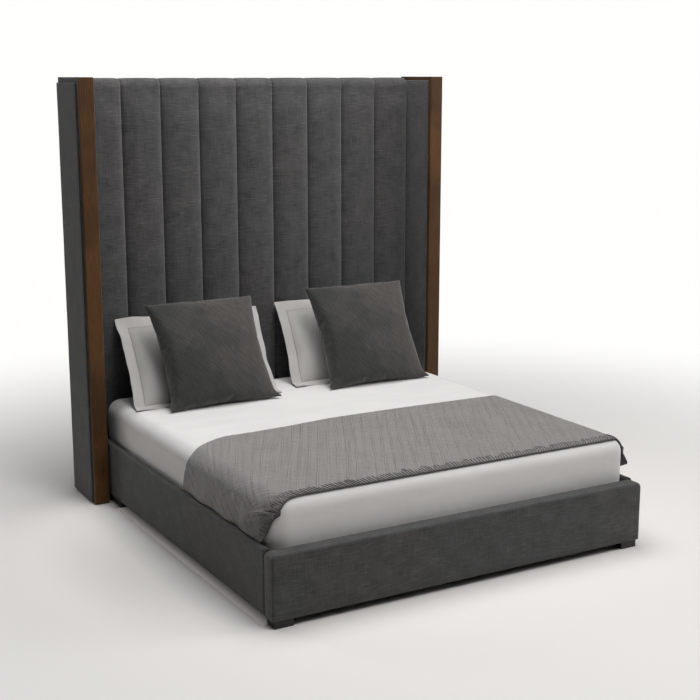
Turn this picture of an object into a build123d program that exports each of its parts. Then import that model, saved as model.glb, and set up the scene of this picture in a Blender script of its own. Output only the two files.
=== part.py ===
from build123d import *
import os
from math import asin, cos, pi, sin

# A made-up bed with a tall channelled headboard between two wings.
# X runs across the bed, +Y points to the headboard and +Z is up, in millimetres.
# The origin is on the floor, in the middle of the space that the bed takes up.

# Mattress and its fitted sheet
mattress_width = 1930
mattress_length = 2030
mattress_thickness = 275
mattress_corner_radius = 88
mattress_top_radius = 68
mattress_bottom_radius = 30
sheet_thickness = 2
sheet_tuck = 120
soft_gap = 0.3

# Side rails and what the slats rest on
rail_side_gap = 2.7
rail_pad = 6
rail_board_thickness = 18
rail_board_height = 281
rail_round_radius = 12
rail_inner_skirt = 63
ledger_rise = 168
ledger_width = 40
ledger_height = 30

# Footboard and front feet
footboard_depth = 75
footboard_height = 288
footboard_overhang = 3
footboard_pad = 10
footboard_corner_radius = 26
footboard_round_radius = 13
foot_end_gap = 11.7
foot_height = 38
foot_width = 90
foot_depth = 78
foot_inset = 15
foot_setback = 8
foot_round_radius = 3
rear_foot_inset = 8
rear_foot_width = 60
rear_foot_depth = 130
rear_foot_setback = 233

# Slats, centre beam and its legs
slat_count = 14
slat_width = 90
slat_thickness = 19
slat_end_gap = 20
slat_side_gap = 8
beam_width = 40
beam_height = 60
centre_leg_count = 3
centre_leg_width = 45
centre_leg_pitch = 525
centre_leg_clearance = 22
glide_radius = 15
glide_height = 8
glide_stem_radius = 4
glide_stem_length = 50
glide_travel = 12
glide_fit = 0.1

# Headboard
headboard_height = 2250
channel_count = 9
channel_crown = 30
channel_base = 12
channel_seam_gap = 0.3
channel_floor_gap = 10
head_end_gap = 14.7
backing_thickness = 12
post_depth = 42
post_width = 90
cross_rail_height = 90
middle_rail_rise = 1062
frame_drop = 70
roll_drop = 6
roll_inner_radius = 3
back_panel_thickness = 6
back_panel_drop = 20
back_recess = 12

# The roll over the headboard's top: how far round it each section stands, how far
# it swells past the straight taper, and how much of the channel's crown it keeps
roll_turn_shares = (0, 0.25, 0.5, 0.75, 1)
roll_swell_shares = (0, 0.08, 0.15, 0.07, 0)
roll_crown_shares = (1, 0.73, 0.33, 0.2, 0.13)

# Wings
wing_depth = 328
wing_gap = 9.5
wing_panel_thickness = 9
wing_board_thickness = 20
wing_core_thickness = 60
facing_thickness = 23
wing_edge_radius = 3
panel_round_radius = 6
outer_panel_drop = 28
inner_panel_drop = 21
outer_panel_reveal = 6
panel_floor_gap = 12
wing_glide_height = 3
wing_glide_radius = 14
wing_glide_inset = 40

# Steel hardware
bracket_leg = 50
bracket_thickness = 4
bracket_height = 130
bracket_rise = 25
bracket_hole_inset = 30
bracket_bolt_shares = (0.25, 0.75)
bolt_radius = 4
bolt_head_radius = 7
bolt_head_height = 5
bracket_bolt_length = 60
rail_bolt_length = 20
wing_bolt_length = 150
wing_bolt_count = 4
wing_bolt_rise = 262
wing_bolt_top_drop = 140
screw_radius = 2
screw_head_radius = 4
screw_head_height = 3
slat_screw_length = 42
foot_screw_length = 60
foot_screw_recess = 12
foot_screw_pitch = 44
drill_fit = 0.2
saddle_length = 40
saddle_thickness = 4
saddle_flange = 40

# Throw over the foot half of the mattress
throw_thickness = 6
throw_front_inset = 36
throw_middle_reach = 986
throw_left_reach = 835
throw_right_reach = 945
throw_peak_offset = 70
throw_left_bow = 28
throw_right_bow = 5
throw_left_hang = 205
throw_right_hang = 158
throw_fold_count = 6
throw_left_fold = 4
throw_right_fold = 9
throw_left_tip_out = 10
throw_left_tip_run = 16
throw_right_tip_out = 38
throw_right_tip_run = 68
throw_tip_bow = 2

# Pillows: where the sections stand across the width, how full each one is, and
# how much of the drawn-in top and bottom it has
section_place_shares = (-1, -0.86, -0.5, 0, 0.5, 0.86, 1)
section_fullness_shares = (0, 0.47, 0.88, 1, 0.88, 0.47, 0)
section_draw_shares = (0, 0.35, 0.85, 1, 0.85, 0.35, 0)

cushion_width = 640
cushion_height = 610
cushion_thickness = 210
cushion_edge = 8
cushion_draw = 20
left_cushion_offset = -448
left_cushion_lean_degrees = 31
left_cushion_turn_degrees = 3
left_cushion_sham_step = 183
right_cushion_offset = 504
right_cushion_lean_degrees = 29
right_cushion_turn_degrees = 1.3
right_cushion_sham_step = 189

sham_width = 840
sham_height = 530
sham_thickness = 150
sham_flange = 45
sham_flange_thickness = 3
sham_corner_radius = 8
sham_draw = 10
left_sham_offset = -477
left_sham_lean_degrees = 37
right_sham_offset = 511
right_sham_lean_degrees = 33

cutter_overrun = 5


# Places across the bed, counted outwards from its middle
sheet_half = mattress_width / 2 + soft_gap + sheet_thickness
rail_inner_x = sheet_half + rail_side_gap
rail_board_x = rail_inner_x + rail_pad
rail_board_outer_x = rail_board_x + rail_board_thickness
rail_outer_x = rail_board_outer_x + rail_pad
well_half = rail_outer_x + wing_gap
wing_board_x = well_half + wing_panel_thickness
wing_core_x = wing_board_x + wing_board_thickness
wing_side_x = wing_core_x + wing_core_thickness
wing_outer_x = wing_side_x + wing_panel_thickness

# Places along the bed, from the footboard's front to the wings' rear
sheet_length = mattress_length + 2 * (soft_gap + sheet_thickness)
pad_depth = channel_crown + channel_base
frame_depth = backing_thickness + post_depth + back_panel_thickness
base_length = footboard_depth + foot_end_gap + sheet_length + head_end_gap
bed_depth = base_length + pad_depth + frame_depth + back_recess
front_y = -bed_depth / 2
footboard_rear_y = front_y + footboard_depth
mattress_front_y = footboard_rear_y + foot_end_gap + sheet_thickness + soft_gap
mattress_rear_y = mattress_front_y + mattress_length
crown_y = mattress_rear_y + soft_gap + sheet_thickness + head_end_gap
valley_y = crown_y + channel_crown
backing_y = valley_y + channel_base
post_y = backing_y + backing_thickness
post_rear_y = post_y + post_depth
back_panel_y = post_rear_y + back_panel_thickness
wing_rear_y = back_panel_y + back_recess
wing_front_y = wing_rear_y - wing_depth
facing_rear_y = wing_front_y + facing_thickness

# Heights above the floor
base_z = foot_height
rail_top_z = base_z + rail_board_height + rail_pad
ledger_z = base_z + ledger_rise
ledger_top_z = ledger_z + ledger_height
slat_top_z = ledger_top_z + slat_thickness
beam_z = ledger_top_z - beam_height
mattress_z = slat_top_z + sheet_thickness + 2 * soft_gap
mattress_top_z = mattress_z + mattress_thickness
sheet_top_z = mattress_top_z + soft_gap + sheet_thickness
frame_top_z = headboard_height - frame_drop
channel_z = rail_top_z + channel_floor_gap

# The throw's front edge, its corner and the height at which it hangs free
throw_offset = soft_gap + sheet_thickness + soft_gap
throw_front_y = mattress_front_y + throw_front_inset
corner_y = mattress_front_y + mattress_corner_radius
throw_fold_z = mattress_top_z - mattress_top_radius


def block(x_low, x_high, y_low, y_high, z_low, z_high):
    """A block between six planes."""
    middle = Pos((x_low + x_high) / 2, (y_low + y_high) / 2, (z_low + z_high) / 2)
    return middle * Box(x_high - x_low, y_high - y_low, z_high - z_low)


def side_block(side, near, far, y_low, y_high, z_low, z_high):
    """A block on the left (side -1) or right (side 1), near and far from the middle."""
    x_low, x_high = sorted((side * near, side * far))
    return block(x_low, x_high, y_low, y_high, z_low, z_high)


def rod(start, direction, length, radius):
    """A round rod from a point in a direction."""
    middle = Vector(*start) + Vector(*direction) * (length / 2)
    return Plane(origin=middle, z_dir=direction) * Cylinder(radius, length)


def fastener(start, direction, length, radius, head_radius, head_height):
    """A shank that runs from a seat into the wood, with its head behind the seat."""
    back = tuple(-part for part in direction)
    return rod(start, direction, length, radius) + rod(start, back, head_height, head_radius)


def round_face_edges(solid, axis, end, radius):
    """Round the edges of the outermost face along an axis: end -1 highest, 0 lowest."""
    return fillet(solid.faces().sort_by(axis)[end].edges(), radius)


def soft_block(grow):
    """The mattress's rounded block, grown by a distance on every side."""
    half = mattress_width / 2 + grow
    ends = (mattress_front_y - grow, mattress_rear_y + grow)
    body = block(-half, half, *ends, mattress_z - grow, mattress_top_z + grow)
    body = fillet(body.edges().filter_by(Axis.Z), mattress_corner_radius + grow)
    body = round_face_edges(body, Axis.Z, -1, mattress_top_radius + grow)
    return round_face_edges(body, Axis.Z, 0, mattress_bottom_radius + grow)


# Fasteners are listed as starts, directions and lengths, so that the same values
# make the metal and drill the wood

def bracket_bolt_places():
    """Where the corner brackets' bolts go: through the rails, and through the ends."""
    rail_bolts = []
    end_bolts = []
    rises = [base_z + bracket_rise + bracket_height * share for share in bracket_bolt_shares]
    for side in (-1, 1):
        for end_y, into in ((footboard_rear_y, -1), (valley_y, 1)):
            for z in rises:
                rail_start = (side * (rail_board_x - bracket_thickness), end_y - into * bracket_hole_inset, z)
                end_start = (side * (rail_board_x - bracket_hole_inset), end_y - into * bracket_thickness, z)
                rail_bolts.append((rail_start, (side, 0, 0), rail_bolt_length))
                end_bolts.append((end_start, (0, into, 0), bracket_bolt_length))
    return rail_bolts, end_bolts


def wing_bolt_places():
    """Where the posts are bolted to the wings."""
    places = []
    first = base_z + wing_bolt_rise
    last = frame_top_z - wing_bolt_top_drop
    for side in (-1, 1):
        for number in range(wing_bolt_count):
            z = first + (last - first) * number / (wing_bolt_count - 1)
            start = (side * (well_half - post_width), (post_y + post_rear_y) / 2, z)
            places.append((start, (side, 0, 0), wing_bolt_length))
    return places


def slat_places():
    """The middle of each slat along the bed."""
    first = footboard_rear_y + slat_end_gap + slat_width / 2
    last = valley_y - slat_end_gap - slat_width / 2
    return [first + (last - first) * number / (slat_count - 1) for number in range(slat_count)]


def slat_screw_places():
    """Where the slats are screwed down to the ledgers."""
    x = rail_board_x - ledger_width / 2
    z = slat_top_z - screw_head_height
    return [((side * x, y, z), (0, 0, -1), slat_screw_length) for y in slat_places() for side in (-1, 1)]


def foot_middle(side):
    """The middle of a front foot, seen from above."""
    x = side * (rail_outer_x + footboard_overhang - foot_inset - foot_width / 2)
    return x, front_y + foot_setback + foot_depth / 2


def foot_screw_places():
    """Where the front feet are screwed up into the footboard."""
    places = []
    for side in (-1, 1):
        x, _ = foot_middle(side)
        for across in (-1, 1):
            start = (x + across * foot_screw_pitch / 2, front_y + footboard_depth / 2, foot_screw_recess)
            places.append((start, (0, 0, 1), foot_screw_length))
    return places


def rear_foot_middle(side):
    """The middle of a rear foot, seen from above."""
    x = side * (rail_outer_x - rear_foot_inset - rear_foot_width / 2)
    return x, backing_y - rear_foot_setback - rear_foot_depth / 2


def rear_foot_screw_places():
    """Where the rear feet are screwed up into the rails' boards."""
    places = []
    for side in (-1, 1):
        x = side * (rail_board_x + rail_board_outer_x) / 2
        _, y = rear_foot_middle(side)
        for along in (-1, 1):
            start = (x, y + along * foot_screw_pitch / 2, foot_screw_recess)
            places.append((start, (0, 0, 1), foot_screw_length))
    return places


def drilled(solid, places, radius):
    """The solid with a hole for each fastener that reaches it."""
    for start, direction, length in places:
        solid -= rod(start, direction, length, radius + drill_fit)
    return solid


def bolts(places):
    """A group of bolts, one solid each."""
    return [fastener(*place, bolt_radius, bolt_head_radius, bolt_head_height) for place in places]


def screws(places):
    """A group of wood screws, one solid each."""
    return [fastener(*place, screw_radius, screw_head_radius, screw_head_height) for place in places]


def wing(side):
    """One wing: core, inner board, facing and the two padded panels."""
    top = headboard_height
    own_bolts = [place for place in wing_bolt_places() if place[1][0] == side]
    core = side_block(side, wing_core_x, wing_side_x, facing_rear_y, wing_rear_y, wing_glide_height, top)
    board = side_block(side, wing_board_x, wing_core_x, facing_rear_y, wing_rear_y, wing_glide_height, top)
    facing = side_block(side, wing_board_x, wing_side_x, wing_front_y, facing_rear_y, wing_glide_height, top)
    facing = round_face_edges(facing, Axis.Y, 0, wing_edge_radius)
    outer = side_block(
        side,
        wing_side_x,
        wing_outer_x,
        facing_rear_y + outer_panel_reveal,
        wing_rear_y,
        panel_floor_gap,
        top - outer_panel_drop,
    )
    outer = round_face_edges(outer, Axis.X, -1 if side > 0 else 0, panel_round_radius)
    inner = side_block(
        side, well_half, wing_board_x, facing_rear_y, back_panel_y, panel_floor_gap, top - inner_panel_drop
    )
    inner = round_face_edges(inner, Axis.X, 0 if side > 0 else -1, panel_round_radius)
    return {
        "wing_core": drilled(core, own_bolts, bolt_radius),
        "wing_inner_board": drilled(board, own_bolts, bolt_radius),
        "wing_facing": facing,
        "wing_outer_panel": outer,
        "wing_inner_panel": drilled(inner, own_bolts, bolt_radius),
    }


def wing_glides():
    """Two low discs under each wing."""
    x = (wing_core_x + wing_side_x) / 2
    ends = (facing_rear_y + wing_glide_inset, wing_rear_y - wing_glide_inset)
    places = [(side * x, y, 0) for side in (-1, 1) for y in ends]
    return [rod(place, (0, 0, 1), wing_glide_height, wing_glide_radius) for place in places]


def headboard_frame():
    """Two posts and three cross rails."""
    end_bolts = bracket_bolt_places()[1]
    nodes = {}
    for name, side in (("left", -1), ("right", 1)):
        post = side_block(side, well_half - post_width, well_half, post_y, post_rear_y, base_z, frame_top_z)
        own = [place for place in end_bolts + wing_bolt_places() if place[0][0] * side > 0]
        nodes[f"headboard_{name}_post"] = drilled(post, own, bolt_radius)
    reach = well_half - post_width
    rises = {
        "bottom": base_z,
        "middle": base_z + middle_rail_rise,
        "top": frame_top_z - cross_rail_height,
    }
    for name, z in rises.items():
        nodes[f"headboard_{name}_rail"] = block(-reach, reach, post_y, post_rear_y, z, z + cross_rail_height)
    return nodes


def headboard_boards():
    """The backing behind the channels, the lower panel in front of it and the rear panel."""
    end_bolts = [place for place in bracket_bolt_places()[1] if place[1][1] > 0]
    backing = block(-well_half, well_half, backing_y, post_y, base_z, frame_top_z)
    lower = block(-rail_inner_x, rail_inner_x, valley_y, backing_y, base_z, rail_top_z + channel_floor_gap)
    rear_top = headboard_height - back_panel_drop
    return {
        "headboard_backing": drilled(backing, end_bolts, bolt_radius),
        "headboard_lower_panel": drilled(lower, end_bolts, bolt_radius),
        "headboard_back_panel": block(-well_half, well_half, post_rear_y, back_panel_y, base_z, rear_top),
    }


def roll_section(x_low, x_high, turn, reach, crown):
    """One section of the roll: a wedge's face that turns about the headboard's rear top edge."""
    middle = (x_low + x_high) / 2

    def point(x, radius):
        return Vector(x, post_rear_y - radius * cos(turn), frame_top_z + radius * sin(turn))

    outline = [
        Line(point(x_low, roll_inner_radius), point(x_low, reach)),
        ThreePointArc(point(x_low, reach), point(middle, reach + crown), point(x_high, reach)),
        Line(point(x_high, reach), point(x_high, roll_inner_radius)),
        Line(point(x_high, roll_inner_radius), point(x_low, roll_inner_radius)),
    ]
    return Face(Wire(outline))


def channel_pad(number):
    """One vertical channel, rounded in front, which rolls back over the top of the frame."""
    pitch = 2 * well_half / channel_count
    x_low = -well_half + number * pitch + channel_seam_gap / 2
    x_high = x_low + pitch - channel_seam_gap
    middle = (x_low + x_high) / 2
    rear_left, rear_right = ((x, backing_y, channel_z) for x in (x_low, x_high))
    front_left, front_right = ((x, valley_y, channel_z) for x in (x_low, x_high))
    outline = [
        Line(rear_left, front_left),
        ThreePointArc(front_left, (middle, crown_y, channel_z), front_right),
        Line(front_right, rear_right),
        Line(rear_right, rear_left),
    ]
    front = extrude(Face(Wire(outline)), frame_top_z - channel_z, dir=(0, 0, 1))
    side_reach = post_rear_y - valley_y
    top_crown = channel_crown * roll_crown_shares[-1]
    top_reach = frame_drop - roll_drop - top_crown
    sections = []
    for turn, swell, crown in zip(roll_turn_shares, roll_swell_shares, roll_crown_shares):
        reach = side_reach + (top_reach - side_reach) * turn + side_reach * swell
        sections.append(roll_section(x_low, x_high, turn * pi / 2, reach, channel_crown * crown))
    return front + loft(sections)


def side_rail(side):
    """One side rail: its board, the padded cover over it and the ledger on its inner face."""
    rail_bolts = [place for place in bracket_bolt_places()[0] if place[1][0] == side]
    ends = (footboard_rear_y, backing_y)
    board = side_block(side, rail_board_x, rail_board_outer_x, *ends, base_z, rail_top_z - rail_pad)
    cover = side_block(side, rail_inner_x, rail_outer_x, *ends, base_z, rail_top_z)
    top_edges = cover.faces().sort_by(Axis.Z)[-1].edges().filter_by(Axis.Y)
    cover = fillet(top_edges, rail_round_radius) - board
    skirt_z = rail_top_z - rail_inner_skirt
    cover -= side_block(
        side,
        rail_inner_x - cutter_overrun,
        rail_board_x,
        ends[0] - cutter_overrun,
        ends[1] + cutter_overrun,
        base_z - cutter_overrun,
        skirt_z,
    )
    board = drilled(board, rear_foot_screw_places(), screw_radius)
    ledger_x = rail_board_x - ledger_width
    ledger = side_block(side, ledger_x, rail_board_x, ends[0], valley_y, ledger_z, ledger_top_z)
    return {
        "rail_board": drilled(board, rail_bolts, bolt_radius),
        "rail_cover": cover,
        "rail_ledger": drilled(ledger, slat_screw_places(), screw_radius),
    }


def footboard():
    """The footboard's core and the padded cover over it."""
    end_bolts = [place for place in bracket_bolt_places()[1] if place[1][1] < 0]
    half = rail_outer_x + footboard_overhang
    top_z = base_z + footboard_height
    pad = footboard_pad
    core = block(
        -half + pad, half - pad, front_y + pad, footboard_rear_y - pad, base_z, top_z - pad
    )
    cover = block(-half, half, front_y, footboard_rear_y, base_z, top_z)
    top_corners = cover.faces().sort_by(Axis.Z)[-1].edges().filter_by(Axis.Y)
    cover = fillet(top_corners, footboard_corner_radius)
    front_loop = cover.faces().sort_by(Axis.Y)[0].edges()
    front_edges = [edge for edge in front_loop if edge.center().Z > base_z + soft_gap]
    cover = fillet(front_edges, footboard_round_radius) - core
    core = drilled(core, end_bolts, bolt_radius)
    return {
        "footboard_core": drilled(core, foot_screw_places(), screw_radius),
        "footboard_cover": drilled(cover, end_bolts, bolt_radius),
    }


def foot_block(middle, width, depth, screw_places):
    """A low block with rounded corners and recessed holes for its screws."""
    x, y = middle
    foot = block(x - width / 2, x + width / 2, y - depth / 2, y + depth / 2, 0, foot_height)
    foot = fillet(foot.edges().filter_by(Axis.Z), foot_round_radius)
    foot = drilled(foot, screw_places, screw_radius)
    for start, _, _ in screw_places:
        foot -= rod(start, (0, 0, -1), foot_screw_recess + cutter_overrun, screw_head_radius + drill_fit)
    return foot


def front_foot(side):
    """A block under one end of the footboard."""
    return foot_block(foot_middle(side), foot_width, foot_depth, foot_screw_places())


def rear_feet():
    """A block under the rear part of each side rail."""
    places = rear_foot_screw_places()
    return [foot_block(rear_foot_middle(side), rear_foot_width, rear_foot_depth, places) for side in (-1, 1)]


def slats():
    """The slats, drilled and recessed for their screws."""
    half = rail_board_x - slat_side_gap
    pieces = []
    for y in slat_places():
        slat = block(-half, half, y - slat_width / 2, y + slat_width / 2, ledger_top_z, slat_top_z)
        own = [place for place in slat_screw_places() if place[0][1] == y]
        slat = drilled(slat, own, screw_radius)
        for start, _, _ in own:
            slat -= rod(start, (0, 0, 1), screw_head_height + cutter_overrun, screw_head_radius + drill_fit)
        pieces.append(slat)
    return pieces


def beam_ends():
    """Where the centre beam starts and stops, between the plates of its two saddles."""
    return footboard_rear_y + saddle_thickness, valley_y - saddle_thickness


def centre_beam():
    """The beam that carries the slats' middles."""
    half = beam_width / 2
    return block(-half, half, *beam_ends(), beam_z, ledger_top_z)


def beam_brackets():
    """A saddle at each end of the beam: a plate with a pocket that the beam drops into."""
    pieces = []
    outer = beam_width / 2 + saddle_thickness
    plate_half = outer + saddle_flange
    bottom = beam_z - saddle_thickness
    for end_y, into in zip(beam_ends(), (1, -1)):
        plate = sorted((end_y - into * saddle_thickness, end_y))
        pocket = sorted((end_y, end_y + into * saddle_length))
        saddle = block(-plate_half, plate_half, *plate, bottom, ledger_top_z)
        saddle += block(-outer, outer, *pocket, bottom, ledger_top_z)
        pieces.append(saddle - centre_beam())
    return pieces


def centre_leg_y(number):
    """Where a centre leg stands along the bed."""
    return (number - (centre_leg_count - 1) / 2) * centre_leg_pitch


def centre_leg(number):
    """A square leg under the beam, with a blind hole for its glide's stem."""
    y = centre_leg_y(number)
    half = centre_leg_width / 2
    leg = block(-half, half, y - half, y + half, centre_leg_clearance, beam_z)
    depth = glide_height + glide_stem_length + glide_travel - centre_leg_clearance + 2 * glide_fit
    start = (0, y, centre_leg_clearance - cutter_overrun)
    return leg - rod(start, (0, 0, 1), depth + cutter_overrun, glide_stem_radius + glide_fit)


def levelling_glide(number):
    """A round foot with a stem that screws up into its leg."""
    base = (0, centre_leg_y(number), 0)
    top = (0, centre_leg_y(number), glide_height)
    disc = rod(base, (0, 0, 1), glide_height, glide_radius)
    return disc + rod(top, (0, 0, 1), glide_stem_length, glide_stem_radius)


def corner_brackets():
    """A steel angle in each corner of the base."""
    low = base_z + bracket_rise
    high = low + bracket_height
    rail_bolts, end_bolts = bracket_bolt_places()
    pieces = []
    for side in (-1, 1):
        for end_y, into in ((footboard_rear_y, -1), (valley_y, 1)):
            along = sorted((end_y, end_y - into * bracket_leg))
            across = sorted((end_y, end_y - into * bracket_thickness))
            angle = side_block(side, rail_board_x - bracket_thickness, rail_board_x, *along, low, high)
            angle += side_block(side, rail_board_x - bracket_leg, rail_board_x, *across, low, high)
            own_side = [place for place in rail_bolts + end_bolts if place[0][0] * side > 0]
            own = [place for place in own_side if place[0][1] * into > 0]
            pieces.append(drilled(angle, own, bolt_radius))
    return pieces


def fitted_sheet():
    """A thin skin over the mattress, tucked in underneath and open in the middle there."""
    skin = soft_block(soft_gap + sheet_thickness) - soft_block(soft_gap)
    half = mattress_width / 2 - sheet_tuck
    opening = block(
        -half,
        half,
        mattress_front_y + sheet_tuck,
        mattress_rear_y - sheet_tuck,
        mattress_z - sheet_thickness - cutter_overrun,
        mattress_z + cutter_overrun,
    )
    return skin - opening


def throw_plan():
    """The throw's top seen from above: a straight front edge and two bows behind."""
    half = sheet_half + throw_thickness + cutter_overrun
    left = (-half, throw_front_y + throw_left_reach)
    peak = (throw_peak_offset, throw_front_y + throw_middle_reach)
    right = (half, throw_front_y + throw_right_reach)
    left_bow = ((left[0] + peak[0]) / 2, (left[1] + peak[1]) / 2 + throw_left_bow)
    right_bow = ((peak[0] + right[0]) / 2, (peak[1] + right[1]) / 2 + throw_right_bow)
    outline = [
        Line((-half, throw_front_y), left),
        ThreePointArc(left, left_bow, peak),
        ThreePointArc(peak, right_bow, right),
        Line(right, (half, throw_front_y)),
        Line((half, throw_front_y), (-half, throw_front_y)),
    ]
    return Face(Wire(outline))


def top_corner(layer):
    """Where a layer of the throw runs round the mattress's front corner: its middle and its end."""
    radius = mattress_corner_radius + throw_offset + layer
    x = mattress_width / 2 - mattress_corner_radius
    turn = asin((corner_y - throw_front_y) / radius)
    middle = (x + radius * cos(turn / 2), corner_y - radius * sin(turn / 2))
    return middle, (x + radius * cos(turn), throw_front_y)


def hem_corner(layer, fold, tip_out, tip_run):
    """The same place at the hem, where the corner of the cloth ends in a free tip."""
    x = mattress_width / 2 + throw_offset + layer
    tip = (x + tip_out, corner_y - tip_run)
    middle = (x + (fold + tip_out) / 2 - throw_tip_bow, corner_y - tip_run / 2 - throw_tip_bow)
    return middle, tip


def hang_face(side, z, rear_y, fold, corners):
    """A level section of a hanging side: along the outer layer to the corner, back along the inner."""
    runs = []
    for layer, corner in zip((throw_thickness, 0), corners):
        x = mattress_width / 2 + throw_offset + layer + fold
        step = (corner_y - rear_y) / throw_fold_count
        places = [rear_y + step * number for number in range(throw_fold_count + 1)]
        edges = []
        for number, (start, end) in enumerate(zip(places, places[1:])):
            swing = fold if number % 2 else -fold
            points = ((side * x, start, z), (side * (x + swing), (start + end) / 2, z), (side * x, end, z))
            edges.append(ThreePointArc(*points) if fold else Line(points[0], points[2]))
        middle, tip = ((side * place[0], place[1], z) for place in corner)
        edges.append(ThreePointArc((side * x, corner_y, z), middle, tip))
        runs.append(edges)
    outer, inner = runs
    ends = [Line(outer[-1] @ 1, inner[-1] @ 1), Line(inner[0] @ 0, outer[0] @ 0)]
    return Face(Wire(outer + ends[:1] + inner[::-1] + ends[1:]))


def throw_hang(side, reach, hang, fold, tip_out, tip_run):
    """A side of the throw, from the mattress's upright side down to a hem in soft folds."""
    layers = (throw_thickness, 0)
    rear_y = throw_front_y + reach
    top = hang_face(side, throw_fold_z, rear_y, 0, [top_corner(layer) for layer in layers])
    hem_corners = [hem_corner(layer, fold, tip_out, tip_run) for layer in layers]
    hem = hang_face(side, sheet_top_z - hang, rear_y, fold, hem_corners)
    return loft([top, hem])


def throw():
    """The throw: a thin layer over the mattress that hangs down both sides."""
    layer = soft_block(throw_offset + throw_thickness) - soft_block(throw_offset)
    height = mattress_top_z + throw_offset + throw_thickness - throw_fold_z
    layer &= extrude(Pos(0, 0, throw_fold_z) * throw_plan(), height + cutter_overrun, dir=(0, 0, 1))
    layer += throw_hang(
        -1, throw_left_reach, throw_left_hang, throw_left_fold, throw_left_tip_out, throw_left_tip_run
    )
    layer += throw_hang(
        1, throw_right_reach, throw_right_hang, throw_right_fold, throw_right_tip_out, throw_right_tip_run
    )
    return layer


def pillow(width, height, thickness, edge, draw):
    """A stuffed square standing on its lower edge, full in the middle and thin at the seams."""
    sections = []
    shares = zip(section_place_shares, section_fullness_shares, section_draw_shares)
    for place, fullness, drawn in shares:
        x = place * width / 2
        half = (edge + (thickness - edge) * fullness) / 2
        low = draw * drawn
        high = height - draw * drawn
        front = ThreePointArc((x, 0, low), (x, -half, height / 2), (x, 0, high))
        back = ThreePointArc((x, 0, high), (x, half, height / 2), (x, 0, low))
        sections.append(Face(Wire([front, back])))
    body = loft(sections)
    bite_radius = (height * height / 4 + draw * draw) / (2 * draw)
    for side in (-1, 1):
        middle = side * (width / 2 - draw + bite_radius)
        body -= rod((middle, -thickness, height / 2), (0, 1, 0), 2 * thickness, bite_radius)
    return body


def sham_form():
    """A stuffed body inside a flat flange."""
    half = sham_width / 2
    plate = block(-half, half, -sham_flange_thickness / 2, sham_flange_thickness / 2, 0, sham_height)
    plate = fillet(plate.edges().filter_by(Axis.Y), sham_corner_radius)
    inner_width = sham_width - 2 * sham_flange
    inner_height = sham_height - 2 * sham_flange
    body = pillow(inner_width, inner_height, sham_thickness, sham_flange_thickness, sham_draw)
    return plate + Pos(0, 0, sham_flange) * body


def set_down(form, lean, turn):
    """The form leant back and turned, with its lowest point just above the sheet."""
    leant = Rot(0, 0, turn) * Rot(-lean, 0, 0) * form
    return Pos(0, 0, sheet_top_z + soft_gap - leant.bounding_box().min.Z) * leant


def sham(x, lean):
    """A sham that leans against the headboard's channels."""
    leant = set_down(sham_form(), lean, 0)
    return Pos(x, crown_y - soft_gap - leant.bounding_box().max.Y, 0) * leant


def cushion(x, lean, turn, sham_lean, step):
    """A square cushion that leans against the sham behind it."""
    form = pillow(cushion_width, cushion_height, cushion_thickness, cushion_edge, cushion_draw)
    sham_foot = crown_y - sham_height * sin(sham_lean * pi / 180)
    return Pos(x, sham_foot - step, 0) * set_down(form, lean, turn)


def all_nodes():
    """Every node's name with its solid, or its group of solids."""
    nodes = {}
    for name, side in (("left", -1), ("right", 1)):
        for piece, solid in {**wing(side), **side_rail(side)}.items():
            nodes[f"{name}_{piece}"] = solid
        nodes[f"{name}_front_foot"] = front_foot(side)
    nodes.update(headboard_frame())
    nodes.update(headboard_boards())
    for number in range(channel_count):
        nodes[f"channel_pad_{number + 1}"] = channel_pad(number)
    nodes.update(footboard())
    nodes["slats"] = slats()
    nodes["centre_beam"] = centre_beam()
    for number in range(centre_leg_count):
        nodes[f"centre_leg_{number + 1}"] = centre_leg(number)
        nodes[f"levelling_glide_{number + 1}"] = levelling_glide(number)
    rail_bolts, end_bolts = bracket_bolt_places()
    nodes["corner_brackets"] = corner_brackets()
    nodes["beam_brackets"] = beam_brackets()
    nodes["bracket_bolts"] = bolts(rail_bolts + end_bolts)
    nodes["wing_bolts"] = bolts(wing_bolt_places())
    nodes["slat_screws"] = screws(slat_screw_places())
    nodes["rear_feet"] = rear_feet()
    nodes["foot_screws"] = screws(foot_screw_places() + rear_foot_screw_places())
    nodes["wing_glides"] = wing_glides()
    nodes["mattress"] = soft_block(0)
    nodes["fitted_sheet"] = fitted_sheet()
    nodes["throw"] = throw()
    nodes["left_sham"] = sham(left_sham_offset, left_sham_lean_degrees)
    nodes["right_sham"] = sham(right_sham_offset, right_sham_lean_degrees)
    nodes["left_cushion"] = cushion(
        left_cushion_offset,
        left_cushion_lean_degrees,
        left_cushion_turn_degrees,
        left_sham_lean_degrees,
        left_cushion_sham_step,
    )
    nodes["right_cushion"] = cushion(
        right_cushion_offset,
        right_cushion_lean_degrees,
        right_cushion_turn_degrees,
        right_sham_lean_degrees,
        right_cushion_sham_step,
    )
    return nodes


os.makedirs("parts", exist_ok=True)
for node_name, node_shape in all_nodes().items():
    if isinstance(node_shape, list):
        node_shape = Compound(children=node_shape)
    export_step(node_shape, f"parts/{node_name}.step")
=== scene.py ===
from math import copysign, cos, exp, hypot, pi, radians, sin

import bmesh
import bpy
from mathutils import Matrix, Vector, noise


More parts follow.
